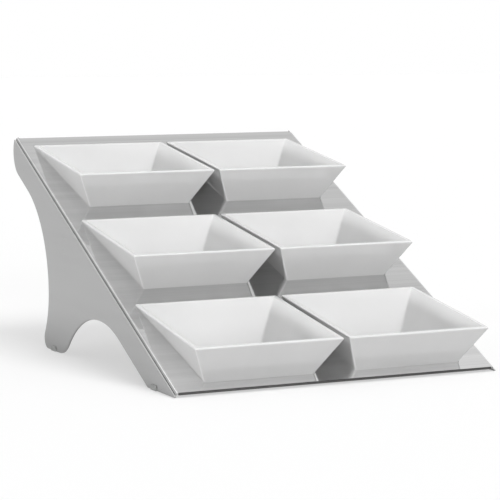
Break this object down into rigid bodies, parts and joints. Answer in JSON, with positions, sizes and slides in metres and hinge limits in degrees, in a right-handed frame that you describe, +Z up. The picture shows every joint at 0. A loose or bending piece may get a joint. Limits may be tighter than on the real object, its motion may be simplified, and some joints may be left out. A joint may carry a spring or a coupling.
{
  "type": "buffet display stand",
  "caption": "Sloping steel display stand on two profiled side panels, with cut-outs that hold loose square flared serving bowls which lift out.",
  "frame": {"origin": "on the table, under the middle of the whole stand", "axes": "+X to the right seen from the front, +Y from the low front edge to the high back edge, +Z up"},
  "size_m": [0.4296, 0.5928, 0.2789],
  "materials": {
    "deck_steel": "bright, fine grain along the width",
    "panel_steel": "satin",
    "fixing_steel": "plain",
    "glide_elastomer": "matt, slightly translucent",
    "bowl_glaze": "gloss white glaze"
  },
  "bodies": {
    "stand": {"deck_plate": "deck_steel", "side_panel_left": "panel_steel", "side_panel_right": "panel_steel", "weld_studs": "fixing_steel", "spacer_washers": "fixing_steel", "hex_nuts": "fixing_steel", "foot_glide_front_left": "glide_elastomer", "foot_glide_rear_left": "glide_elastomer", "foot_glide_front_right": "glide_elastomer", "foot_glide_rear_right": "glide_elastomer"},
    "bowl_front_left": {"bowl_front_left": "bowl_glaze"},
    "bowl_front_right": {"bowl_front_right": "bowl_glaze"},
    "bowl_middle_left": {"bowl_middle_left": "bowl_glaze"},
    "bowl_middle_right": {"bowl_middle_right": "bowl_glaze"},
    "bowl_back_left": {"bowl_back_left": "bowl_glaze"},
    "bowl_back_right": {"bowl_back_right": "bowl_glaze"}
  },
  "joints": [
    {"name": "lift_bowl_front_left", "type": "slide", "parent": "stand", "child": "bowl_front_left", "axis": [0, -0.1616, 0.9869], "range_m": [0, 0.15]},
    {"name": "lift_bowl_front_right", "type": "slide", "parent": "stand", "child": "bowl_front_right", "axis": [0, -0.1616, 0.9869], "range_m": [0, 0.15]},
    {"name": "lift_bowl_middle_left", "type": "slide", "parent": "stand", "child": "bowl_middle_left", "axis": [0, -0.1616, 0.9869], "range_m": [0, 0.15]},
    {"name": "lift_bowl_middle_right", "type": "slide", "parent": "stand", "child": "bowl_middle_right", "axis": [0, -0.1616, 0.9869], "range_m": [0, 0.15]},
    {"name": "lift_bowl_back_left", "type": "slide", "parent": "stand", "child": "bowl_back_left", "axis": [0, -0.1616, 0.9869], "range_m": [0, 0.15]},
    {"name": "lift_bowl_back_right", "type": "slide", "parent": "stand", "child": "bowl_back_right", "axis": [0, -0.1616, 0.9869], "range_m": [0, 0.15]}
  ]
}
